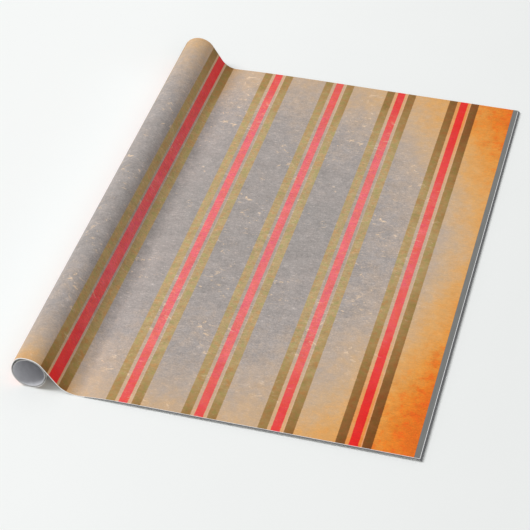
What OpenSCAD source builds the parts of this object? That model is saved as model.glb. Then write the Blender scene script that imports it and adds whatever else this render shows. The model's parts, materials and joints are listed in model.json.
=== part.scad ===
// Roll of gift wrap, partly drawn off: one printed sheet wound on a thin paperboard core.
// The roll lies along Y. Its outermost turn is loose, leaves over the top of the roll, falls
// to the table in an S-curve and runs out flat towards +X. The free end can be curled up.

/* [Sheet] */
// Width of the paper, along the roll
sheet_w = 762; // [400:1:1000]
// Length of paper lying flat, from the landing line to the free edge
flat_l = 419.6; // [200:0.1:900]
// Thickness of the sheet as modelled
paper_t = 0.8; // [0.4:0.1:1]
// Unprinted margin along the free edge
margin_w = 7.5; // [3:0.5:20]
// Width of each of the hinged strips that let the free end curl
strip_w = 14; // [8:0.5:18]

/* [Core] */
// Radius of the bore through the core
bore_r = 20.3; // [12:0.1:40]
// Thickness of one ply of the core's wall
ply_t = 0.3; // [0.2:0.05:0.6]
// Running gap between the core and the paper wound on it
core_gap = 0.05; // [0.02:0.01:0.1]

/* [Roll] */
// Turns modelled in the wound part of the roll
turns = 3; // [1:1:6]
// Growth in radius with each turn
turn_pitch = 0.18; // [0.15:0.01:0.3]
// Thickness of a wound turn, less than the pitch
turn_t = 0.13; // [0.08:0.01:0.14]
// Least gap between the loose outer turn and the wound turns
run_gap = 0.3; // [0.2:0.05:0.5]
// Slack in the loose outer turn
slack = 0.8; // [0:0.05:3]
// Angle between the roll's axis and the print's stripes, in degrees
roll_skew = 0.39; // [0:0.01:0.5]

/* [S-curve] */
// Angle past the top of the roll at which the web leaves it, in degrees
leave_a = 53; // [35:1:60]
// Radius of the bend where the web lands
land_r = 29; // [15:1:40]
// Flat paper between the landing bend and the landing line, at the near edge
land_flat = 10.9; // [3:0.1:40]

/* [Hidden] */
$fn = 180;
strips = 6;                                      // hinged strips, each a node of its own
loose_end_a = 380;                               // the loose turn tucks in here, under the web
end_inset = 0.3;                                 // core and wound turns stop this far inside the edges
trim_over = 2;                                   // bends are drawn this much too long, then trimmed
seam = 0.02;                                     // gap where the flat sheet meets the moving web

core_r = bore_r + 2 * ply_t;
wound_r = core_r + core_gap;                     // inner radius of the innermost turn
pack_r = wound_r + turns * turn_pitch + turn_t;  // largest radius of the wound turns
pack_l = sheet_w - 2 * end_inset;
turn_r = pack_r + run_gap + slack + paper_t;     // printed face of the loose turn
settle = slack / sqrt(2);                        // the wound turns sit low and to the web's side
pack_z = turn_r - settle;

// Section of the S-curve, square to the roll: [distance from the roll's axis, height]
turn_c = [-settle, turn_r];
leave_p = turn_c + turn_r * [sin(leave_a), cos(leave_a)];
slope_dir = [cos(leave_a), -sin(leave_a)];
slope_back = [-sin(leave_a), -cos(leave_a)];     // from the printed face to the back of the slope
slope_l = (leave_p[1] - paper_t - land_r * (1 - cos(leave_a))) / sin(leave_a);
land_p = leave_p + slope_l * slope_dir;
land_c = land_p - land_r * slope_back;

// Places along the sheet
far_shift = sheet_w * tan(roll_skew);            // the roll's far end lies this much towards -X
land_x = land_c[0] / cos(roll_skew) + land_flat; // the landing line, where the flat sheet starts
free_x = land_x + flat_l;
strips_x = free_x - margin_w - strips * strip_w;
far_left_x = (turn_c[0] - turn_r) / cos(roll_skew) - far_shift;
mid_x = (far_left_x + free_x) / 2;               // the box's middle, which becomes X = 0

// Stands a section drawn in X and Y, with its length along Z, square to the roll's axis
module along_roll() {
    translate([-far_shift / 2 - mid_x, 0, 0])
        rotate([0, 0, roll_skew]) rotate([90, 0, 0]) children();
}

// The same for the web, trimmed to the sheet's straight edges and to the landing line
module web() {
    intersection() {
        along_roll() children();
        translate([far_left_x - 1 - mid_x, -sheet_w / 2, -1])
            cube([land_x - far_left_x + 1, sheet_w, 2 * turn_r + 2]);
    }
}

// Stretch of a tube's wall between two angles, centred along Z
module bend(r_in, wall, from_a, to_a, l) {
    rotate([0, 0, from_a]) translate([0, 0, -l / 2])
        rotate_extrude(angle = to_a - from_a) translate([r_in, 0]) square([wall, l]);
}

// Straight length of the web's section, extruded
module straight(outline) {
    linear_extrude(sheet_w + 2 * trim_over, center = true) polygon(outline);
}

// Flat slab of paper between two places along the sheet
module slab(x0, x1) {
    translate([x0 - mid_x, -sheet_w / 2, 0]) cube([x1 - x0, sheet_w, paper_t]);
}

module tube(r_in, r_out, l) {
    difference() {
        cylinder(r = r_out, h = l, center = true);
        cylinder(r = r_in, h = l + 2, center = true);
    }
}

module flat_sheet() { color("thistle") slab(land_x + seam, strips_x); }

// Wedge of flat paper between the skewed bend and the landing line
module landing_flat() {
    start = land_c[0];
    end = start + land_flat + far_shift + trim_over;
    color("moccasin") web() straight([[start, 0], [end, 0], [end, paper_t], [start, paper_t]]);
}

module landing_bend() {
    color("burlywood") web() translate(land_c)
        bend(land_r, paper_t, 270 - leave_a, 270, sheet_w + 2 * trim_over);
}

module rising_web() {
    back = paper_t * slope_back;
    color("indianred") web() straight([leave_p, leave_p + back, land_p + back, land_p]);
}

module shoulder_bend() {
    color("tan") web() translate(turn_c)
        bend(turn_r - paper_t, paper_t, 90 - leave_a, 90, sheet_w + 2 * trim_over);
}

module loose_turn() {
    color("rosybrown") web() translate(turn_c)
        bend(turn_r - paper_t, paper_t, 90, loose_end_a, sheet_w + 2 * trim_over);
}

// A spiral of half turns on two centres half a pitch apart
module wound_turns() {
    color("whitesmoke") along_roll() translate([0, pack_z])
        for (k = [0 : turns - 1]) {
            bend(wound_r + k * turn_pitch, turn_t, 0, 180, pack_l);
            translate([turn_pitch / 2, 0])
                bend(wound_r + (k + 0.5) * turn_pitch, turn_t, 180, 360, pack_l);
        }
}

module core_outer_ply() {
    color("gainsboro") along_roll() translate([0, pack_z]) tube(bore_r + ply_t, core_r, pack_l);
}

module core_inner_ply() {
    color("silver") along_roll() translate([0, pack_z]) tube(bore_r, bore_r + ply_t, pack_l);
}

// Strips are numbered from the flat sheet towards the free edge
module curl_strip(k) {
    color(k % 2 == 0 ? "sandybrown" : "orange")
        slab(strips_x + (k - 1) * strip_w, strips_x + k * strip_w);
}

module free_margin() { color("gray") slab(free_x - margin_w, free_x); }

flat_sheet();
landing_flat();
landing_bend();
rising_web();
shoulder_bend();
loose_turn();
wound_turns();
core_outer_ply();
core_inner_ply();
curl_strip(1);  // curl_strip_1
curl_strip(2);  // curl_strip_2
curl_strip(3);  // curl_strip_3
curl_strip(4);  // curl_strip_4
curl_strip(5);  // curl_strip_5
curl_strip(6);  // curl_strip_6
free_margin();
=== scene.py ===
"""Roll of striped gift wrap, partly drawn off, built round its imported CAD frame.

The roll lies along Y on the floor. Its outermost turn is loose, leaves over the top of the
roll, falls to the floor in an S-curve and runs out flat towards +X, where the free end is.
The printed sheet is made of pieces that meet edge to edge, because eight joints move or bend it.
"""

import json
import math
import random
from types import SimpleNamespace

import bpy
from mathutils import Matrix, Vector


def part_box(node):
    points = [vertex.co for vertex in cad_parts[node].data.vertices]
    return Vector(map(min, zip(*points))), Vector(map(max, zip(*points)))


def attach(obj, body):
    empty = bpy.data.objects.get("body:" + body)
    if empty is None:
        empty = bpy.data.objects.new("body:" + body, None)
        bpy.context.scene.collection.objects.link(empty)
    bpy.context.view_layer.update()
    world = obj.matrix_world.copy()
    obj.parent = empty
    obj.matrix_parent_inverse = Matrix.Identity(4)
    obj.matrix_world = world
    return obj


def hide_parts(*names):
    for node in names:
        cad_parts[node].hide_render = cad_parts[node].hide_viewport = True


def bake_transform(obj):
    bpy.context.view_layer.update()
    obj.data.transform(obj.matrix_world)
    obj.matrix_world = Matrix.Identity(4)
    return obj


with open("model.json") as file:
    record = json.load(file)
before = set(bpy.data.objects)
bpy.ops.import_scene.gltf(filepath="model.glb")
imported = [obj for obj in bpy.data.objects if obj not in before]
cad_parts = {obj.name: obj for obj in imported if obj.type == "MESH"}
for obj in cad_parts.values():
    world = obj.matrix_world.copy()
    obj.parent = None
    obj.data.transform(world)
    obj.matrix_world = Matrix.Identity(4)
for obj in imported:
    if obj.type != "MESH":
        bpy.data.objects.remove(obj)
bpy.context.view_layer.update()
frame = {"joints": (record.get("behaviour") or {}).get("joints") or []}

MM = 0.001
random.seed(7)

# Places that the frame gives, in metres
LAND_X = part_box("flat_sheet")[0].x              # the landing line, where the flat web starts
FOLD_X = [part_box(f"curl_strip_{k}")[0].x for k in range(1, 7)]  # the folds of the free end
MARGIN_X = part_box("free_margin")[0].x           # the print ends here
FREE_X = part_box("free_margin")[1].x             # the free edge
NEAR_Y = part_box("flat_sheet")[0].y
FAR_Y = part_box("flat_sheet")[1].y
PAPER_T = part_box("flat_sheet")[1].z             # thickness that the CAD gives the sheet
SHEET_T = 0.45 * MM                             # thickness that the pieces here show
WEB_W = FAR_Y - NEAR_Y
HALF_FOLD = (FOLD_X[1] - FOLD_X[0]) / 2         # half of the way from one fold to the next

# The wound paper and its core, square to the roll's own axis
SPIN = next(joint for joint in frame["joints"] if joint["name"] == "roll_spin")
ROLL_AXIS = Vector(SPIN["axis"]).normalized()
ROLL_POINT = Vector(SPIN["pos_m"])
BORE_R = 20.3 * MM
PLY_T = 0.3 * MM                                # each of the core's two plies
LINER_R = BORE_R + PLY_T                        # where they meet
WOUND_R = 20.95 * MM                            # innermost face of the wound paper
PACK_R = 21.62 * MM                             # and its outermost
PACK_L = WEB_W - 8 * MM                         # the wound paper ends inside the loose turn,
CORE_L = WEB_W - 0.6 * MM                       # the core almost level with it

# The web's section at the near and the far edge: the loose turn is slacker at the far end
TURN_X = (-231.1 * MM, -237.4 * MM)             # middle of the loose turn
TURN_R = (23.12 * MM, 24.8 * MM)                # its printed face
LAND_R = (33 * MM, 27.1 * MM)                   # bend where the web lands
LAND_Z = (0.0, 2.4 * MM)                        # height of that bend above the floor
LEAVE = (math.radians(53), math.radians(57))    # past the top of the roll, where the web leaves
TUCK = math.radians(-252)                       # where the loose turn tucks in, under the web
TUCK_IN = 0.25 * MM                             # how far it closes in there
BULGE = 1.7 * MM                                # slack that stands out at the near end,
BULGE_AT = math.radians(-30)                    # at its upper left,
BULGE_SPREAD = math.radians(22)
PRESS = 0.95 * MM                               # and below it the turn is drawn in
PRESS_AT = math.radians(-108)
PRESS_SPREAD = math.radians(46)
SLACK_REACH = 60 * MM                           # both fade out this far from the near end
SWELL = 0.55 * MM                               # the near cut edge looks thicker over the top
SWELL_REACH = 30 * MM                           # and fades out this far along the roll
SWELL_ROWS = 30                                 # it comes in over the first rows of the section

# How the flat web lies
LIFT = 3.9 * MM                                 # it rises this much from the landing,
LIFT_OVER = 30 * MM                             # steeply at first, then less and less,
SETTLE = 6 * MM                                 # after this much of level web
WAVE = 0.25 * MM                                # height of its low waves
WAVES = ((14, 5, 0.0, 1.0), (23, -11, 1.3, 0.6))    # radians per metre of X and Y, phase, share
LIP_OUT = (2.3 * MM, 0.6 * MM)                  # the free end and the sides turn down at the edge
LIP_DOWN = (3.3 * MM, 1.1 * MM)
LIP_SLACK = (0.1 * MM, 0.05 * MM)               # a point this far out is on the turned-down edge
LIP_LOST = 0.85                                 # share of the sides' turned edge lost at the landing
PAINTED_SHEEN = 0.13                                   # painted highlight: how much paler the web is shown where it lands,
PAINTED_SHEEN_IN = 14 * MM                             # where that comes in
PAINTED_SHEEN_OUT = 42 * MM                            # and where it fades out

# The print, measured from the free edge along the web, in millimetres
REPEAT = 96.2
FIRST_STRIPE = 81.5
RED_W = 11.4
GOLD_OFF = 16.3                                 # middle of a gold stripe, from the middle of the red
GOLD_W = 11.8
SOFT = 0.55                                     # half the width over which one ink gives way
CREAM_OFF = 0.7                                 # the cream hairline, from one gold stripe's edge
RED_SPREAD = 1.5                                # the red runs wider by this, each side, on the roll
PRINT_SHIFT = 0.9                               # and there the stripes are printed further on
PRINT_STRETCH = 0.06                            # and wider,
RED_SHADE_DEEPER = 0.14                               # and the red is this much more saturated there, a painted shade colour
SLOPE_FROM = (4, 26)                            # that comes in this far past the landing line
UNDERSIDE = (536.0, 546.0)                      # and ends where the web passes under the roll
GRAIN_PERIOD = 2 * REPEAT                       # the worn texture repeats with the stripes


def srgb(red, green, blue):
    """Linear colour of an 8-bit screen colour."""
    def linear(value):
        value /= 255
        return value / 12.92 if value <= 0.04045 else ((value + 0.055) / 1.055) ** 2.4
    return (linear(red), linear(green), linear(blue), 1.0)


STUDIO = 0.96                                   # what the light makes of a flat white sheet
VEIL = 0.015                                    # what the paper's gloss adds to every colour
ALBEDO = (0.002, 0.95)                          # the darkest and the palest that paper can be


def pigment(red, green, blue):
    """Albedo that shows as this screen colour on the flat web, under the studio light."""
    bare = [(channel - VEIL) / STUDIO for channel in srgb(red, green, blue)[:3]]
    return tuple(min(ALBEDO[1], max(ALBEDO[0], channel)) for channel in bare) + (1.0,)


def smooth(value):
    """0 up to 0, 1 from 1, smooth between."""
    value = min(1.0, max(0.0, value))
    return value * value * (3 - 2 * value)


def mix(pair, share):
    """A value between the two of a pair."""
    return pair[0] + (pair[1] - pair[0]) * share


# ---------------------------------------------------------------- shader helpers

def add_node(tree, kind, **settings):
    """A new node with the settings given."""
    made = tree.nodes.new(kind)
    for name, value in settings.items():
        setattr(made, name, value)
    return made


def feed(tree, socket, value):
    """Links an output into a socket, or sets the socket's own value."""
    if isinstance(value, bpy.types.NodeSocket):
        tree.links.new(value, socket)
    else:
        socket.default_value = value


def calc(tree, operation, *values):
    """Output of a maths node."""
    made = add_node(tree, "ShaderNodeMath", operation=operation)
    for socket, value in zip(made.inputs, values):
        feed(tree, socket, value)
    return made.outputs[0]


def blend_colour(tree, share, first, second, how="MIX"):
    """The first colour, with the second over it by a share."""
    made = add_node(tree, "ShaderNodeMix", data_type="RGBA", blend_type=how)
    feed(tree, made.inputs[0], share)
    feed(tree, made.inputs[6], first)
    feed(tree, made.inputs[7], second)
    return made.outputs[2]


def ramp(tree, value, stops):
    """Colour ramp through (place, colour) stops."""
    made = add_node(tree, "ShaderNodeValToRGB")
    points = made.color_ramp.elements
    while len(points) < len(stops):
        points.new(0.5)
    for point, (place, colour) in zip(points, stops):
        point.position = place
        point.color = colour
    feed(tree, made.inputs[0], value)
    return made.outputs[0]


def step_up(tree, value, low, high):
    """0 below low, 1 above high, smooth between."""
    made = add_node(tree, "ShaderNodeMapRange", interpolation_type="SMOOTHSTEP")
    for socket, given in zip(made.inputs, (value, low, high, 0.0, 1.0)):
        feed(tree, socket, given)
    return made.outputs[0]


def noise(tree, vector, scale, detail, rough=0.5, distortion=0.0):
    """Noise between 0 and 1, whose scale is in features per millimetre."""
    made = add_node(tree, "ShaderNodeTexNoise")
    feed(tree, made.inputs["Vector"], vector)
    made.inputs["Scale"].default_value = scale
    made.inputs["Detail"].default_value = detail
    made.inputs["Roughness"].default_value = rough
    made.inputs["Distortion"].default_value = distortion
    return made.outputs[0]


def stretch(tree, vector, scale, turn=(0, 0, 0)):
    """A place scaled and turned, to draw a texture out one way."""
    made = add_node(tree, "ShaderNodeMapping")
    feed(tree, made.inputs["Vector"], vector)
    made.inputs["Scale"].default_value = scale
    made.inputs["Rotation"].default_value = turn
    return made.outputs[0]


def object_place(tree):
    """The X, Y and Z outputs of the place in the frame, in millimetres, and the place itself."""
    place = add_node(tree, "ShaderNodeTexCoord").outputs["Object"]
    scaled = add_node(tree, "ShaderNodeVectorMath", operation="SCALE")
    feed(tree, scaled.inputs[0], place)
    scaled.inputs["Scale"].default_value = 1 / MM
    parts = add_node(tree, "ShaderNodeSeparateXYZ")
    feed(tree, parts.inputs[0], scaled.outputs[0])
    return parts.outputs[0], parts.outputs[1], parts.outputs[2], scaled.outputs[0]


def bump(tree, height, distance):
    """Normal of a surface with fine relief."""
    made = add_node(tree, "ShaderNodeBump")
    made.inputs["Strength"].default_value = 0.5
    made.inputs["Distance"].default_value = distance
    feed(tree, made.inputs["Height"], height)
    return made.outputs[0]


def new_material(name, roughness):
    """A material with its node tree and its shader, ready for a colour."""
    material = bpy.data.materials.new(name)
    material.use_nodes = True
    tree = material.node_tree
    shader = next(n for n in tree.nodes if n.type == "BSDF_PRINCIPLED")
    shader.inputs["Roughness"].default_value = roughness
    shader.inputs["IOR"].default_value = 1.45
    return material, tree, shader


# ---------------------------------------------------------------- the print

GROUND = [
    (0.00, (157, 152, 149)), (0.15, (168, 160, 156)), (0.30, (187, 169, 153)),
    (0.45, (205, 173, 137)), (0.60, (219, 167, 106)), (0.75, (225, 153, 75)),
    (0.90, (226, 132, 50)), (1.00, (226, 115, 42)),
]
GOLD = [
    (0.00, (187, 164, 124)), (0.18, (183, 159, 116)), (0.26, (177, 151, 105)),
    (0.34, (168, 138, 91)), (0.42, (160, 128, 80)), (0.50, (151, 116, 70)),
    (0.58, (145, 104, 59)), (0.66, (135, 93, 53)), (0.80, (125, 78, 40)), (1.00, (112, 62, 34)),
]
RED = [
    (0.00, (232, 121, 124)), (0.18, (232, 116, 116)), (0.27, (230, 106, 103)),
    (0.34, (229, 97, 92)), (0.42, (229, 84, 80)), (0.50, (229, 72, 70)),
    (0.58, (227, 64, 62)), (0.68, (227, 54, 51)), (0.80, (226, 43, 40)), (1.00, (225, 36, 34)),
]
GAP = [
    (0.00, (172, 159, 148)), (0.12, (180, 163, 148)), (0.22, (192, 170, 150)),
    (0.32, (204, 174, 145)), (0.42, (213, 173, 136)), (0.52, (222, 168, 120)),
    (0.64, (228, 155, 95)), (0.80, (232, 138, 62)), (1.00, (230, 115, 42)),
]


def inks(stops):
    """Ramp stops as pigments."""
    return [(place, pigment(*colour)) for place, colour in stops]


def bell(tree, distance, width):
    """exp(-(distance / width) ** 2)"""
    share = calc(tree, "DIVIDE", distance, width)
    return calc(tree, "EXPONENT", calc(tree, "MULTIPLY", calc(tree, "MULTIPLY", share, share), -1.0))


def decay(tree, distance, width):
    """exp(-distance / width)"""
    return calc(tree, "EXPONENT", calc(tree, "DIVIDE", distance, -width))


# How warm the ground is, in shares, and how far that reaches, in millimetres
END_WARMTH = 0.571                              # the middle of the free end,
END_REACH = 72.0                                # inwards along the web,
END_FALL = 1.3                                  # where this power makes it fall off
NEAR_CORNER = (215.0, 0.577, 41.0)              # its width, and what it adds to warmth and reach
FAR_CORNER = (206.0, 0.365, 62.0)
NEAR_SIDE = 0.356
FAR_SIDE = 0.301
SIDE_REACH = 132.0
ROLL_SIDE = 0.14                                # what both sides of the roll have besides,
ROLL_REACH = (45.0, 100.0)                      # from the near edge and from the far edge
EVERYWHERE = 0.05


def end_warmth(tree, along, across, far_across):
    """Warmth of the free end, which is wider and deeper in its two corners."""
    near = bell(tree, across, NEAR_CORNER[0])
    far = bell(tree, far_across, FAR_CORNER[0])
    strength = calc(tree, "MULTIPLY_ADD", far, FAR_CORNER[1], END_WARMTH)
    strength = calc(tree, "MULTIPLY_ADD", near, NEAR_CORNER[1], strength)
    reach = calc(tree, "MULTIPLY_ADD", far, FAR_CORNER[2], END_REACH)
    reach = calc(tree, "MULTIPLY_ADD", near, NEAR_CORNER[2], reach)
    inwards = calc(tree, "DIVIDE", calc(tree, "MAXIMUM", along, 0.0), reach)
    fall = calc(tree, "MULTIPLY", calc(tree, "POWER", inwards, END_FALL), -1.0)
    return calc(tree, "MULTIPLY", strength, calc(tree, "EXPONENT", fall))


def side_warmth(tree, across, far_across, on_roll):
    """Warmth along the two sides, a little more on the roll."""
    roll_more = calc(tree, "MULTIPLY", on_roll, ROLL_SIDE)
    warm = calc(tree, "MULTIPLY_ADD", decay(tree, across, SIDE_REACH), NEAR_SIDE, EVERYWHERE)
    warm = calc(tree, "MULTIPLY_ADD", decay(tree, far_across, SIDE_REACH), FAR_SIDE, warm)
    warm = calc(tree, "MULTIPLY_ADD", decay(tree, across, ROLL_REACH[0]), roll_more, warm)
    return calc(tree, "MULTIPLY_ADD", decay(tree, far_across, ROLL_REACH[1]), roll_more, warm)


def warmth(tree, along, across, far_across, on_roll):
    """How orange the ground is, 0 to 1: most at the free end's corners, least in the middle."""
    cool_end = calc(tree, "SUBTRACT", 1.0, end_warmth(tree, along, across, far_across))
    cool_sides = calc(tree, "SUBTRACT", 1.0, side_warmth(tree, across, far_across, on_roll))
    return calc(tree, "SUBTRACT", 1.0, calc(tree, "MULTIPLY", cool_end, cool_sides))


def grain_place(tree, along, across):
    """The web wrapped round a drum, so that a texture on it repeats with the print."""
    radius = GRAIN_PERIOD / (2 * math.pi)
    angle = calc(tree, "DIVIDE", along, radius)
    made = add_node(tree, "ShaderNodeCombineXYZ")
    feed(tree, made.inputs[0], calc(tree, "MULTIPLY", calc(tree, "COSINE", angle), radius))
    feed(tree, made.inputs[1], calc(tree, "MULTIPLY", calc(tree, "SINE", angle), radius))
    feed(tree, made.inputs[2], across)
    return made.outputs[0]


def stripe_masks(tree, along, wobble, on_roll):
    """Shares of red, of gold, of the gaps between them and of a cream hairline beside one gold."""
    half = REPEAT / 2
    shift = calc(tree, "MULTIPLY", on_roll, PRINT_SHIFT)
    place = calc(tree, "WRAP", calc(tree, "SUBTRACT", along, FIRST_STRIPE), half, -half)
    place = calc(tree, "SUBTRACT", calc(tree, "ADD", place, wobble), shift)
    place = calc(tree, "DIVIDE", place, calc(tree, "MULTIPLY_ADD", on_roll, PRINT_STRETCH, 1.0))
    away = calc(tree, "ABSOLUTE", place)
    wider = calc(tree, "MULTIPLY", on_roll, RED_SPREAD)
    from_red = calc(tree, "SUBTRACT", calc(tree, "SUBTRACT", away, wider), RED_W / 2)
    red = calc(tree, "SUBTRACT", 1.0, step_up(tree, from_red, -SOFT, SOFT))
    from_gold = calc(tree, "ABSOLUTE", calc(tree, "SUBTRACT", away, GOLD_OFF))
    past_gold = step_up(tree, from_gold, GOLD_W / 2 - SOFT, GOLD_W / 2 + SOFT)
    gold = calc(tree, "SUBTRACT", 1.0, past_gold)
    gap = calc(tree, "SUBTRACT", 1.0, step_up(tree, away, GOLD_OFF, GOLD_OFF + SOFT))
    line = calc(tree, "ABSOLUTE", calc(tree, "ADD", place, GOLD_OFF - GOLD_W / 2 - CREAM_OFF))
    cream = calc(tree, "SUBTRACT", 1.0, step_up(tree, line, 0.3, 0.9))
    return red, gold, gap, cream


def worn_clusters(tree, place):
    """Share of the ink lost in ragged clusters, longer along the web, that lie in a few patches."""
    patches = step_up(tree, noise(tree, place, 0.014, 2.0), 0.49, 0.56)
    drawn_out = stretch(tree, place, (0.55, 0.55, 1.0))
    ragged = noise(tree, drawn_out, 0.13, 5.0, 0.72, 0.6)
    return calc(tree, "MULTIPLY", patches, step_up(tree, ragged, 0.59, 0.63))


def layered(tree, level, layers):
    """A level with noise laid over it, each layer as deep as given."""
    for layer, depth in layers:
        level = calc(tree, "MULTIPLY_ADD", calc(tree, "SUBTRACT", layer, 0.5), depth, level)
    return level


def grit(tree, place):
    """Fine dust and short dashes in the print: its grain, the dust alone, and the bare specks."""
    fine = noise(tree, place, 0.55, 3.0, 0.75)
    dashes = noise(tree, stretch(tree, place, (0.35, 0.35, 1.0)), 0.42, 3.0, 0.7)
    broad = noise(tree, place, 0.05, 4.0, 0.65)
    grain = layered(tree, 1.0, ((fine, 0.90), (dashes, 0.70), (broad, 0.46)))
    dots = noise(tree, stretch(tree, place, (0.6, 0.6, 1.0), (0.3, 0.2, 0.5)), 0.36, 2.0, 0.6)
    bare_dashes = step_up(tree, dashes, 0.62, 0.74)
    bare_dots = step_up(tree, dots, 0.66, 0.72)
    return grain, fine, calc(tree, "MAXIMUM", bare_dashes, bare_dots)


EDGE_HIGHLIGHT = pigment(252, 250, 247)
HIGHLIGHT_RIM_W = 0.6                                     # millimetres of white along the cut edges, a painted highlight of the lit edge
HIGHLIGHT_RIM_SOFT = 0.15                                 # and how softly the print begins there


def edge_highlight_rim(tree, along, across, far_across):
    """Share of painted highlight: a white hairline along each cut edge, where the edge catches the
    light.
    """
    nearest = calc(tree, "MINIMUM", along, calc(tree, "MINIMUM", across, far_across))
    return calc(tree, "SUBTRACT", 1.0, step_up(tree, nearest, HIGHLIGHT_RIM_W - HIGHLIGHT_RIM_SOFT, HIGHLIGHT_RIM_W))


def tinted(tree, place, colour, first, second):
    """The ink's own uneven hue: soft patches that lean to one tint or the other."""
    hue = noise(tree, place, 0.13, 3.0, 0.65)
    one = calc(tree, "MULTIPLY", step_up(tree, hue, 0.52, 0.64), 0.6)
    other = calc(tree, "MULTIPLY", calc(tree, "SUBTRACT", 1.0, step_up(tree, hue, 0.36, 0.48)), 0.6)
    colour = blend_colour(tree, one, colour, first, "MULTIPLY")
    return blend_colour(tree, other, colour, second, "MULTIPLY")


def places_across(tree):
    """Millimetres from the near edge and from the far edge."""
    _, y, _, _ = object_place(tree)
    return calc(tree, "SUBTRACT", y, NEAR_Y / MM), calc(tree, "SUBTRACT", FAR_Y / MM, y)


def along_from_place(tree):
    """On the flat web, which stays put while the roll draws away: from the place itself."""
    x, _, _, _ = object_place(tree)
    return calc(tree, "SUBTRACT", FREE_X / MM, x)


def along_from_web(tree):
    """On the parts that move: from the length stored at each point of the web."""
    stored = add_node(tree, "ShaderNodeAttribute", attribute_name="print_s")
    return calc(tree, "MULTIPLY", stored.outputs["Fac"], 1 / MM)


def all_flat(tree, along):
    """No part of it is on the roll."""
    return 0.0


def past_landing(tree, along):
    """0 up to the landing, 1 on the slope and over the top, 0 again on the far side of the roll."""
    landing = (FREE_X - LAND_X) / MM
    rising = step_up(tree, along, landing + SLOPE_FROM[0], landing + SLOPE_FROM[1])
    in_sight = calc(tree, "SUBTRACT", 1.0, step_up(tree, along, *UNDERSIDE))
    return calc(tree, "MULTIPLY", rising, in_sight)


def web_places(tree, along_web, roll_share):
    """What the print depends on at each point of the web, and how warm the ground is there."""
    along = along_web(tree)
    on_roll = roll_share(tree, along)
    across, far_across = places_across(tree)
    return SimpleNamespace(
        along=along, across=across, far_across=far_across, on_roll=on_roll,
        place=grain_place(tree, along, across),
        warm=warmth(tree, along, across, far_across, on_roll))


def grain_strength(tree, warm):
    """How strongly the grain shows: least where the ground is tan, more again where it is orange."""
    tan = step_up(tree, warm, 0.18, 0.38)
    orange = step_up(tree, warm, 0.6, 0.9)
    even = calc(tree, "MULTIPLY_ADD", orange, -0.35, calc(tree, "MULTIPLY", tan, 0.55))
    return calc(tree, "SUBTRACT", 1.0, even)


def ground_ink(tree, web, uneven, cloth):
    """The ground, from grey to orange, with redder embers where it is warmest."""
    ground = ramp(tree, uneven, inks(GROUND))
    warmest = step_up(tree, web.warm, 0.62, 0.95)
    embers = calc(tree, "MULTIPLY", warmest, step_up(tree, cloth, 0.50, 0.66))
    return blend_colour(tree, calc(tree, "MULTIPLY", embers, 0.45), ground, pigment(236, 96, 40))


def gold_ink(tree, web, uneven):
    """The gold, which leans to red or to green in patches, made deeper on the roll and its slope as
    painted shade.
    """
    gold = ramp(tree, uneven, inks(GOLD))
    gold = tinted(tree, web.place, gold, (1.16, 0.84, 0.70, 1), (0.80, 1.04, 0.80, 1))
    # painted shade: the gold is darkened on the roll and its slope
    return blend_colour(tree, web.on_roll, gold, (0.99, 0.94, 0.80, 1), "MULTIPLY")


def red_ink(tree, web, uneven):
    """The red: deeper on the roll and its slope as painted shade, and pale on its underside, where it
    would tint the floor.
    """
    # painted shade: the red is deeper and more saturated on the roll and its slope
    red = ramp(tree, calc(tree, "MULTIPLY_ADD", web.on_roll, RED_SHADE_DEEPER, uneven), inks(RED))
    red = tinted(tree, web.place, red, (1.0, 0.72, 1.16, 1), (1.0, 1.06, 0.74, 1))
    red = blend_colour(tree, web.on_roll, red, (1.10, 0.86, 0.96, 1), "MULTIPLY")
    underneath = calc(tree, "MULTIPLY", step_up(tree, web.along, *UNDERSIDE), 0.5)
    return blend_colour(tree, underneath, red, pigment(232, 172, 162))


def fresh_print(tree, web, uneven, cloth):
    """Colour of the print before any wear, and the share of stripe in it."""
    ragged = calc(tree, "SUBTRACT", noise(tree, web.place, 0.4, 3.0), 0.5)
    wobble = calc(tree, "MULTIPLY", ragged, 1.2)
    red, gold, gap, cream = stripe_masks(tree, web.along, wobble, web.on_roll)
    colour = ground_ink(tree, web, uneven, cloth)
    colour = blend_colour(tree, calc(tree, "MULTIPLY", gap, 0.8), colour,
                          ramp(tree, uneven, inks(GAP)))
    colour = blend_colour(tree, gold, colour, gold_ink(tree, web, uneven))
    colour = blend_colour(tree, calc(tree, "MULTIPLY", cream, 0.32), colour, pigment(222, 190, 165))
    colour = blend_colour(tree, red, colour, red_ink(tree, web, uneven))
    return colour, calc(tree, "MAXIMUM", red, gold)


def worn_print(tree, web, colour, inked, specks):
    """The print with its worn clusters and bare specks, fewer on the stripes and the warm ground."""
    pale = calc(tree, "SUBTRACT", 1.0, step_up(tree, web.warm, 0.25, 0.65))
    bare = calc(tree, "SUBTRACT", 1.0, calc(tree, "MULTIPLY", inked, 0.6))
    bare = calc(tree, "MULTIPLY", bare, pale)
    worn = calc(tree, "MULTIPLY", worn_clusters(tree, web.place), bare)
    colour = blend_colour(tree, calc(tree, "MULTIPLY", worn, 0.75), colour, pigment(234, 206, 175))
    specks = calc(tree, "MULTIPLY", specks, bare)
    colour = blend_colour(tree, calc(tree, "MULTIPLY", specks, 0.42), colour, pigment(216, 203, 194))
    return colour, worn


def print_shade(tree, grain, strength):
    """Lightness of the print: its grain, and a painted highlight where the web lands."""
    sheen_share = add_node(tree, "ShaderNodeAttribute", attribute_name="painted_sheen").outputs["Fac"]
    shade = calc(tree, "MULTIPLY_ADD", calc(tree, "SUBTRACT", grain, 1.0), strength, 1.0)
    # painted highlight: the print is made paler where the web lands, for the sheen of its bend
    shade = calc(tree, "MULTIPLY_ADD", sheen_share, PAINTED_SHEEN, shade)
    grey = add_node(tree, "ShaderNodeCombineColor")
    for socket in grey.inputs:
        feed(tree, socket, shade)
    return grey.outputs[0]


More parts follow.
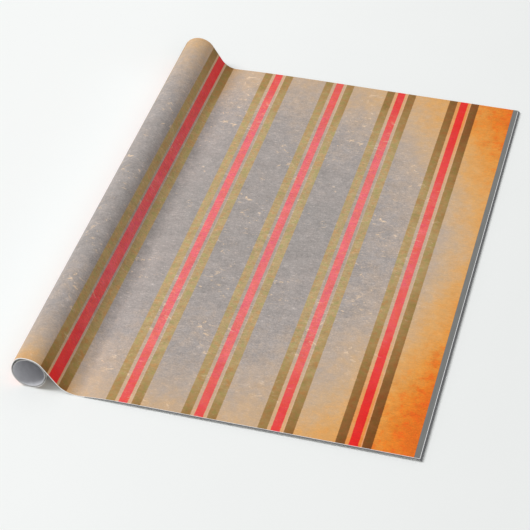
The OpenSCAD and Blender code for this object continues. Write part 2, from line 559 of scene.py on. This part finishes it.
def printed_paper(name, along_web, roll_share):
    """Matte printed paper. along_web gives the millimetres from the free edge in a node tree,
    roll_share how far the paper there belongs to the roll and its slope rather than to the flat."""
    material, tree, shader = new_material(name, 0.62)
    shader.inputs["Specular IOR Level"].default_value = 0.3
    web = web_places(tree, along_web, roll_share)
    grain, fine, specks = grit(tree, web.place)
    strength = grain_strength(tree, web.warm)
    clouds = noise(tree, web.place, 0.012, 4.0, 0.55, 0.4)
    cloth = noise(tree, web.place, 0.09, 4.0, 0.6)
    fine_depth = calc(tree, "MULTIPLY", strength, 0.22)
    uneven = layered(tree, web.warm, ((clouds, 0.30), (cloth, 0.24), (fine, fine_depth)))

    colour, inked = fresh_print(tree, web, uneven, cloth)
    colour, worn = worn_print(tree, web, colour, inked, specks)
    colour = blend_colour(tree, 1.0, colour, print_shade(tree, grain, strength), "MULTIPLY")
    # painted highlight: white along the cut edges, for the lit edge
    highlight_rim = edge_highlight_rim(tree, web.along, web.across, web.far_across)
    feed(tree, shader.inputs["Base Color"], blend_colour(tree, highlight_rim, colour, EDGE_HIGHLIGHT))

    shine = calc(tree, "MULTIPLY_ADD", calc(tree, "SUBTRACT", fine, 0.5), 0.3, 0.6)
    feed(tree, shader.inputs["Roughness"], calc(tree, "MULTIPLY_ADD", worn, 0.15, shine))
    height = calc(tree, "MULTIPLY_ADD", worn, -0.6, noise(tree, web.place, 1.6, 3.0, 0.6))
    feed(tree, shader.inputs["Normal"], bump(tree, height, 0.04 * MM))
    return material


# ---------------------------------------------------------------- the plain materials

def plain_paper(name, colour, low, high, scale):
    """Unprinted paper or board, with clouds from low to high times its colour, and fibres."""
    material, tree, shader = new_material(name, 0.8)
    _, _, _, place = object_place(tree)
    clouds = noise(tree, place, scale, 4.0, 0.6)
    darker = pigment(*(value * low for value in colour))
    lighter = pigment(*(min(255, value * high) for value in colour))
    feed(tree, shader.inputs["Base Color"], ramp(tree, clouds, [(0.3, darker), (0.7, lighter)]))
    fibres = noise(tree, stretch(tree, place, (1.0, 0.35, 1.0)), 2.2, 3.0, 0.6)
    feed(tree, shader.inputs["Normal"], bump(tree, fibres, 0.05 * MM))
    return material


def bare_margin_material():
    """The unprinted grey margin: even, with faint streaks along the edge."""
    material, tree, shader = new_material("margin_grey", 0.6)
    _, _, _, place = object_place(tree)
    streaks = noise(tree, stretch(tree, place, (1.0, 0.05, 1.0)), 0.9, 3.0, 0.6)
    grey = ramp(tree, streaks, [(0.3, pigment(115, 116, 115)), (0.7, pigment(126, 127, 125))])
    # painted highlight: white along the cut edges, for the lit edge
    highlight_rim = edge_highlight_rim(tree, along_from_web(tree), *places_across(tree))
    feed(tree, shader.inputs["Base Color"], blend_colour(tree, highlight_rim, grey, EDGE_HIGHLIGHT))
    fibres = noise(tree, place, 1.8, 3.0, 0.6)
    feed(tree, shader.inputs["Normal"], bump(tree, fibres, 0.04 * MM))
    return material


def wound_core(name, colour, seam_pitch, seam_turn):
    """Spiral-wound board: fibres, and a helical butt seam that turns one way or the other."""
    material, tree, shader = new_material(name, 0.7)
    x, y, z, place = object_place(tree)
    side = calc(tree, "SUBTRACT", x, ROLL_POINT.x / MM)
    skewed = calc(tree, "MULTIPLY_ADD", y, -ROLL_AXIS.x / ROLL_AXIS.y, side)
    angle = calc(tree, "ARCTAN2", calc(tree, "SUBTRACT", z, ROLL_POINT.z / MM), skewed)
    turn = calc(tree, "MULTIPLY", angle, seam_turn * seam_pitch / (2 * math.pi))
    half = seam_pitch / 2
    from_seam = calc(tree, "ABSOLUTE", calc(tree, "WRAP", calc(tree, "ADD", y, turn), half, -half))
    groove = calc(tree, "SUBTRACT", 1.0, step_up(tree, from_seam, 0.1, 0.5))
    clouds = noise(tree, place, 0.15, 4.0, 0.65)
    darker = pigment(*(value * 0.95 for value in colour))
    board = ramp(tree, clouds, [(0.3, darker), (0.7, pigment(*colour))])
    seam_colour = pigment(*(value * 0.84 for value in colour))
    board = blend_colour(tree, calc(tree, "MULTIPLY", groove, 0.6), board, seam_colour)
    feed(tree, shader.inputs["Base Color"], board)
    fibres = noise(tree, stretch(tree, place, (1.0, 0.4, 1.0)), 1.6, 3.0, 0.6)
    height = calc(tree, "MULTIPLY_ADD", groove, -1.5, fibres)
    feed(tree, shader.inputs["Normal"], bump(tree, height, 0.06 * MM))
    return material


FLOOR_SPAN = 900                                # millimetres of X over which painted light fades, the floor darkening
BRIGHT_X = -290.0                               # painted light is brightest along here, beside the roll,
BRIGHT_REACH = 75.0                             # and this far to each side,
BRIGHT_NEAR = (-20, 40)                         # from before the near edge to past it,
BRIGHT_FAR = (20, -90)                          # and the same at the far edge


def painted_light_beside_roll(tree, x, y):
    """Share of painted light on the floor: a soft strip as long as the roll."""
    near, far = NEAR_Y / MM, FAR_Y / MM
    past_near = step_up(tree, y, near + BRIGHT_NEAR[0], near + BRIGHT_NEAR[1])
    before_far = step_up(tree, y, far + BRIGHT_FAR[0], far + BRIGHT_FAR[1])
    strip = bell(tree, calc(tree, "SUBTRACT", x, BRIGHT_X), BRIGHT_REACH)
    return calc(tree, "MULTIPLY", calc(tree, "MULTIPLY", past_near, before_far), strip)


def floor_material():
    """A pale floor with painted light: darker towards +X, and a slightly cool pool of light beside the
    roll.
    """
    material, tree, shader = new_material("pale_floor", 0.85)
    x, y, _, place = object_place(tree)
    # painted light: the floor fades from bright at -X to greyer at +X
    across = calc(tree, "MULTIPLY_ADD", x, 1 / FLOOR_SPAN, 0.5)
    uneven = layered(tree, across, ((noise(tree, place, 0.004, 2.0), 0.2),))
    pale = ramp(tree, uneven, [(0.1, srgb(248, 250, 249)), (0.9, srgb(236, 238, 237))])
    # painted light beside the roll, a little cool, which also offsets the red light that the roll
    # throws on the floor
    colour = blend_colour(tree, painted_light_beside_roll(tree, x, y), pale, srgb(251, 255, 255))
    feed(tree, shader.inputs["Base Color"], colour)
    return material


# ---------------------------------------------------------------- mesh helpers

SHARP = math.radians(35)                        # faces that turn more than this meet in an edge
PRINTED, BACK, CUT = 0, 1, 2                    # the materials of a paper piece, in order


def finish_mesh(name, points, faces, materials):
    """A smooth-shaded object from points and (face, number of its material) pairs."""
    mesh = bpy.data.meshes.new(name)
    mesh.from_pydata(points, [], [face for face, _ in faces])
    for material in materials:
        mesh.materials.append(material)
    for polygon, (_, kind) in zip(mesh.polygons, faces):
        polygon.material_index = kind
        polygon.use_smooth = True
    mesh.update()
    mesh.set_sharp_from_angle(angle=SHARP)
    made = bpy.data.objects.new(name, mesh)
    bpy.context.scene.collection.objects.link(made)
    return made


def on_lip(point):
    """Whether a point is outside the cut edges, on the paper that turns down there."""
    from_middle = abs(point[1] - (NEAR_Y + FAR_Y) / 2)
    return point[0] > FREE_X + LIP_SLACK[0] or from_middle > WEB_W / 2 + LIP_SLACK[1]


def sheet_faces(points, rows, across):
    """Faces of a closed sheet: its printed side and its back, then its four edges."""
    under = rows * across
    last = under - across
    faces = []
    for a in (i * across + j for i in range(rows - 1) for j in range(across - 1)):
        b = a + across
        turned = any(on_lip(points[k]) for k in (a, a + 1, b))
        faces.append(((a, a + 1, b + 1, b), CUT if turned else PRINTED))
        faces.append(((under + a, under + b, under + b + 1, under + a + 1), BACK))
    for near in range(0, last, across):
        far = near + across - 1
        faces.append(((near, near + across, under + near + across, under + near), CUT))
        faces.append(((far, under + far, under + far + across, far + across), CUT))
    for j in range(across - 1):
        faces.append(((j, under + j, under + j + 1, j + 1), CUT))
        faces.append(((last + j, last + j + 1, under + last + j + 1, under + last + j), CUT))
    return faces


def store(mesh, name, values):
    """Keeps one number for each point, for the material to read."""
    stored = mesh.attributes.new(name, "FLOAT", "POINT")
    stored.data.foreach_set("value", values)


def paper_piece(name, rows, materials):
    """A closed sheet from rows across the web of (printed point, back point, print length).

    rows[i][j]: i counts along the web away from the free edge, j from the near edge."""
    entries = [entry for row in rows for entry in row]
    points = [entry[0] for entry in entries] + [entry[1] for entry in entries]
    lengths = [entry[2] for entry in entries] * 2
    made = finish_mesh(name, points, sheet_faces(points, len(rows), len(rows[0])), materials)
    store(made.data, "print_s", lengths)
    # the painted highlight where the web lands, kept at each point for the material
    store(made.data, "painted_sheen", [painted_sheen(length) for length in lengths])
    return made


def painted_sheen(length):
    """Painted highlight where the web lands, paler there: it rises over the bend, then fades out."""
    inwards = FREE_X - LAND_X - length
    if inwards < 0:
        return 1 - smooth(-inwards / PAINTED_SHEEN_IN)
    return math.exp(-(inwards / PAINTED_SHEEN_OUT) ** 1.5)


# ---------------------------------------------------------------- the web's shape

STEPS_ACROSS = 72
LANDING_STEPS, BEND_STEPS, SLOPE_STEPS, TURN_STEPS = 6, 24, 12, 150
FLAT_STEPS, FOLD_STEPS, LIP_STEPS, MARGIN_STEPS = 90, 6, 3, 4


def across_places():
    """Places along Y from the near cut edge to the far one."""
    return [NEAR_Y + WEB_W * j / STEPS_ACROSS for j in range(STEPS_ACROSS + 1)]


def to_far(y):
    """0 at the near edge of the web, 1 at the far edge."""
    return (y - NEAR_Y) / WEB_W


def landing_end(y):
    """Where the S-curve's last bend meets the flat web, and how long its slope is."""
    share = to_far(y)
    radius, bend, level = mix(TURN_R, share), mix(LAND_R, share), PAPER_T + mix(LAND_Z, share)
    leave = mix(LEAVE, share)
    drop = radius * (1 + math.cos(leave)) - level - bend * (1 - math.cos(leave))
    slope = drop / math.sin(leave)
    reach = (radius + bend) * math.sin(leave) + slope * math.cos(leave)
    return mix(TURN_X, share) + reach, slope


def lie(x, y):
    """Height of the printed face where the web lies flat."""
    past = max(0.0, x - landing_end(y)[0])
    rise = 1 - math.exp(-past * past / ((past + SETTLE) * LIFT_OVER))
    waves = sum(part * math.sin(by_x * x + by_y * y + phase) for by_x, by_y, phase, part in WAVES)
    landing = mix(LAND_Z, to_far(y))
    return PAPER_T + landing + rise * (LIFT - landing + WAVE * waves)


def flat_entry(x, y):
    """One place on the flat web. Outside the cut edges it is on the lip, which turns down."""
    lifted = 1 - LIP_LOST * math.exp(-max(0.0, x - LAND_X) / LIFT_OVER)
    over_end = max(0.0, x - FREE_X) / LIP_OUT[0]
    over_side = lifted * max(0.0, NEAR_Y - y, y - FAR_Y) / LIP_OUT[1]
    down = max(over_end * LIP_DOWN[0], over_side * LIP_DOWN[1])
    inner = min(FAR_Y, max(NEAR_Y, y))
    y = inner + (y - inner) * lifted
    top = lie(x, inner) - down
    return ((x, y, top), (x, y, top - SHEET_T), FREE_X - x)


def turn_radius(angle, share):
    """Radius of the loose turn: slack at the upper left of the near end, closed in at its tail."""
    tuck = TUCK_IN * smooth((-math.pi - angle) / (-math.pi - TUCK))
    near_the_end = math.exp(-share * WEB_W / SLACK_REACH)
    bulge = BULGE * math.exp(-((angle - BULGE_AT) / BULGE_SPREAD) ** 2)
    press = PRESS * math.exp(-((angle - PRESS_AT) / PRESS_SPREAD) ** 2)
    return mix(TURN_R, share) - tuck + near_the_end * (bulge - press)


def lead_line(y):
    """The printed face from the landing line round to the tucked tail, at one place across.

    Each entry is (x, z, and the x and z of the way the printed face looks)."""
    share = to_far(y)
    radius, bend, middle = mix(TURN_R, share), mix(LAND_R, share), mix(TURN_X, share)
    end_x, slope = landing_end(y)
    leave = mix(LEAVE, share)
    level = PAPER_T + mix(LAND_Z, share)
    line = []
    for i in range(LANDING_STEPS + 1):
        x = LAND_X + (end_x - LAND_X) * i / LANDING_STEPS
        line.append((x, lie(x, y), 0.0, 1.0))
    for i in range(1, BEND_STEPS + 1):
        a = leave * i / BEND_STEPS
        nx, nz = math.sin(a), math.cos(a)
        line.append((end_x - bend * nx, level + bend * (1 - nz), nx, nz))
    nx, nz = math.sin(leave), math.cos(leave)
    foot_x, foot_z = line[-1][:2]
    for i in range(1, SLOPE_STEPS + 1):
        away = slope * i / SLOPE_STEPS
        line.append((foot_x - away * nz, foot_z + away * nx, nx, nz))
    for i in range(1, TURN_STEPS + 1):
        a = leave + (TUCK - leave) * i / TURN_STEPS
        out, nx, nz = turn_radius(a, share), math.sin(a), math.cos(a)
        line.append((middle + out * nx, radius + out * nz, nx, nz))
    return line


def lead_section(y):
    """The web's section at one place across it: (printed point, back point, print length)."""
    line = lead_line(y)
    swell = SWELL * math.exp(-to_far(y) * WEB_W / SWELL_REACH)
    entries, length, before = [], FREE_X - LAND_X, line[0]
    for i, (x, z, nx, nz) in enumerate(line):
        length += math.hypot(x - before[0], z - before[1])
        thick = SHEET_T + swell * smooth(i / SWELL_ROWS) * max(0.0, nz) ** 1.5
        entries.append(((x, y, z), (x - thick * nx, y, z - thick * nz), length))
        before = (x, z)
    return entries


def build_lead(print_moving, white_back, cut_edge):
    """Landing, S-curve and loose outer turn, in one piece that rides on the lead."""
    sections = [lead_section(y) for y in across_places()]
    rows = [[section[i] for section in sections] for i in range(len(sections[0]))]
    web = paper_piece("web_lead", rows, [print_moving, white_back, cut_edge])
    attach(web, "lead")
    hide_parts("landing_flat", "landing_bend", "rising_web", "shoulder_bend", "loose_turn")


def flat_rows(from_x, to_x, steps):
    """Rows across the flat web, from the free end's side towards the roll."""
    places = [from_x + (to_x - from_x) * i / steps for i in range(steps + 1)]
    if from_x == FREE_X:
        places.insert(0, FREE_X + LIP_OUT[0])
    across = [NEAR_Y - LIP_OUT[1]] + across_places() + [FAR_Y + LIP_OUT[1]]
    return [[flat_entry(x, y) for y in across] for x in places]


def build_flat(print_still, white_back, cut_edge):
    """The flat web between the landing line and the first fold line of the free end."""
    end = FOLD_X[0] - HALF_FOLD
    rows = flat_rows(end, LAND_X, FLAT_STEPS)
    web = paper_piece("web_flat", rows, [print_still, white_back, cut_edge])
    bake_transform(web)
    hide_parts("flat_sheet")


def build_end(print_moving, white_back, cut_edge, margin_grey):
    """The free end: it curls up over six folds, each in the middle of a piece of its own."""
    printed = [print_moving, white_back, cut_edge]
    for k, fold in enumerate(FOLD_X):
        start, end = fold - HALF_FOLD, fold + HALF_FOLD
        piece = paper_piece(f"web_end_{k + 1}", flat_rows(end, start, FOLD_STEPS), printed)
        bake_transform(piece)
        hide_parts(f"curl_strip_{k + 1}")
    past_folds = FOLD_X[-1] + HALF_FOLD
    lip = paper_piece("web_lip", flat_rows(MARGIN_X, past_folds, LIP_STEPS), printed)
    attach(lip, "curl_6")
    rows = flat_rows(FREE_X, MARGIN_X, MARGIN_STEPS)
    margin = paper_piece("bare_margin", rows, [margin_grey, white_back, cut_edge])
    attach(margin, "curl_6")
    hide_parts("free_margin")


# ---------------------------------------------------------------- the roll and its core

def roll_frame():
    """Takes (radius, angle, place along the roll) to a point; angle 0 is +X, 90 degrees is up."""
    up = Vector((0, 0, 1))
    side = ROLL_AXIS.cross(up).normalized()

    def place(radius, angle, along):
        out = side * math.cos(angle) + up * math.sin(angle)
        return tuple(ROLL_POINT + ROLL_AXIS * along + out * radius)
    return place


WOUND_TURNS = 6
WOUND_STEPS = 120                               # steps to a turn
WOUND_PITCH = (PACK_R - WOUND_R) / WOUND_TURNS
WOUND_T = WOUND_PITCH * 0.8                     # thickness of each turn, which leaves a thin gap
RAGGED = 0.25                                   # millimetres by which the turns' ends differ


def wound_points():
    """Four points for each step along the spiral: inner and outer, near end and far end."""
    place = roll_frame()
    ends = [random.uniform(-RAGGED, 0.0) * MM for _ in range(2 * (WOUND_TURNS + 1))]
    points = []
    for i in range(WOUND_TURNS * WOUND_STEPS + 1):
        turns_done = i / WOUND_STEPS
        angle = 2 * math.pi * turns_done
        inner = WOUND_R + (WOUND_PITCH - WOUND_T / WOUND_TURNS) * turns_done
        turn = min(int(turns_done), WOUND_TURNS - 1)
        share = smooth(turns_done - turn)
        near = -PACK_L / 2 - mix((ends[turn], ends[turn + 1]), share)
        far = PACK_L / 2 + mix((ends[turn + WOUND_TURNS], ends[turn + WOUND_TURNS + 1]), share)
        outline = ((inner, near), (inner + WOUND_T, near), (inner + WOUND_T, far), (inner, far))
        points += [place(radius, angle, along) for radius, along in outline]
    return points


def build_wound(white_back, cut_edge):
    """The paper still wound on the core: one spiral whose turns end a little unevenly."""
    last = 4 * WOUND_TURNS * WOUND_STEPS
    faces = []
    for a in range(0, last, 4):
        for corner, kind in ((0, 1), (1, 0), (2, 1), (3, 0)):
            after = (corner + 1) % 4
            faces.append(((a + corner, a + 4 + corner, a + 4 + after, a + after), kind))
    faces.append(((0, 1, 2, 3), 1))
    faces.append(((last, last + 3, last + 2, last + 1), 1))
    wound = finish_mesh("wound_paper", wound_points(), faces, [white_back, cut_edge])
    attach(wound, "roll")
    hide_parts("wound_turns")


TUBE_STEPS = 160
BOARD_SEAM = 82.0                               # pitch of each ply's seam, in millimetres
LINER_SEAM = 74.0


def build_tube(name, inner, outer, material, node):
    """A tube with slightly rounded rims, square to the roll's axis."""
    place = roll_frame()
    round_over = (outer - inner) * 0.3
    half = CORE_L / 2
    outline = [
        (inner, -half + round_over), (inner + round_over, -half),
        (outer - round_over, -half), (outer, -half + round_over),
        (outer, half - round_over), (outer - round_over, half),
        (inner + round_over, half), (inner, half - round_over),
    ]
    points, faces = [], []
    count = len(outline)
    for i in range(TUBE_STEPS):
        angle = 2 * math.pi * i / TUBE_STEPS
        points += [place(radius, angle, along) for radius, along in outline]
        a, b = i * count, (i + 1) % TUBE_STEPS * count
        for corner in range(count):
            after = (corner + 1) % count
            faces.append(((a + corner, b + corner, b + after, a + after), 0))
    tube = finish_mesh(name, points, faces, [material])
    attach(tube, "core")
    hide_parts(node)


# ---------------------------------------------------------------- studio

def build_floor():
    """A large plain floor, just below the paper."""
    size, level = 6.0, -0.05 * MM
    mesh = bpy.data.meshes.new("floor")
    corners = [(-size, -size, level), (size, -size, level), (size, size, level), (-size, size, level)]
    mesh.from_pydata(corners, [], [(0, 1, 2, 3)])
    mesh.materials.append(floor_material())
    floor = bpy.data.objects.new("floor", mesh)
    bpy.context.scene.collection.objects.link(floor)


def add_sun(name, azimuth, elevation, strength, spread):
    """A soft sun that shines from an azimuth (0 is +X, 90 is +Y) and an elevation, in degrees."""
    light = bpy.data.lights.new(name, "SUN")
    light.energy = strength
    light.angle = math.radians(spread)
    sun = bpy.data.objects.new(name, light)
    a, e = math.radians(azimuth), math.radians(elevation)
    towards = Vector((math.cos(a) * math.cos(e), math.sin(a) * math.cos(e), math.sin(e)))
    sun.rotation_mode = "QUATERNION"
    sun.rotation_quaternion = towards.to_track_quat("Z", "Y")
    bpy.context.scene.collection.objects.link(sun)


def build_light():
    """An even white sky, a soft key from beyond the roll, at -X, and a weak fill from the near side."""
    world = bpy.data.worlds.new("studio")
    bpy.context.scene.world = world
    world.use_nodes = True
    sky = world.node_tree.nodes["Background"]
    sky.inputs["Color"].default_value = (1.0, 1.0, 1.0, 1.0)
    sky.inputs["Strength"].default_value = 0.42
    add_sun("key", 189, 48, 2.10, 24)
    add_sun("fill", 300, 35, 0.38, 30)
    bpy.context.scene.view_settings.view_transform = "Standard"


def build_camera():
    """The camera of a product shot: from the near right, well above."""
    azimuth, elevation, roll = math.radians(14.7344), math.radians(38.8858), math.radians(0.408)
    target = Vector((-11.16, -76.75, 4.7)) * MM
    distance = 2408.68 * MM
    back = Vector((math.sin(azimuth) * math.cos(elevation),
                   -math.cos(azimuth) * math.cos(elevation), math.sin(elevation)))
    right = Vector((0, 0, 1)).cross(back).normalized()
    up = back.cross(right)
    side = right * math.cos(roll) + up * math.sin(roll)
    top = back.cross(side)
    optics = bpy.data.cameras.new("camera")
    optics.lens = 122.19
    optics.sensor_width = 36
    optics.clip_end = 50
    camera = bpy.data.objects.new("camera", optics)
    bpy.context.scene.collection.objects.link(camera)
    turn = Matrix((side, top, back)).transposed().to_4x4()
    camera.matrix_world = Matrix.Translation(target + back * distance) @ turn
    bpy.context.scene.camera = camera


build_camera()
build_light()
build_floor()

PRINT_STILL = printed_paper("print_still", along_from_place, all_flat)
PRINT_MOVING = printed_paper("print_moving", along_from_web, past_landing)
WHITE_BACK = plain_paper("white_back", (236, 235, 233), 0.97, 1.02, 0.05)
CUT_EDGE = plain_paper("cut_edge", (250, 247, 243), 0.97, 1.02, 1.2)
# painted shade: the ends of the wound turns are grey, for the shade that falls among the turns at the
# roll's end
STACKED_EDGES_SHADED = plain_paper("stacked_edges_painted_shade", (176, 175, 174), 0.95, 1.02, 1.2)
# painted shade: the turned-down lip and the flat web's cut edges are grey for the dark shadow band
# outside the edges; at the free end the grey also continues the bare margin
LIP_SHADE_GREY = plain_paper("lip_painted_shade", (122, 122, 124), 0.95, 1.05, 0.4)

CORE_BOARD = wound_core("core_board", (192, 190, 187), BOARD_SEAM, 1)
CORE_LINER = wound_core("core_liner", (216, 216, 220), LINER_SEAM, -1)
MARGIN_GREY = bare_margin_material()

build_wound(WHITE_BACK, STACKED_EDGES_SHADED)
build_tube("core_board", LINER_R, LINER_R + PLY_T, CORE_BOARD, "core_outer_ply")
build_tube("core_liner", BORE_R, LINER_R, CORE_LINER, "core_inner_ply")
build_lead(PRINT_MOVING, WHITE_BACK, CUT_EDGE)
# the flat web and the free end take the painted-shade grey on their cut edges and lip
build_flat(PRINT_STILL, WHITE_BACK, LIP_SHADE_GREY)
build_end(PRINT_MOVING, WHITE_BACK, LIP_SHADE_GREY, MARGIN_GREY)
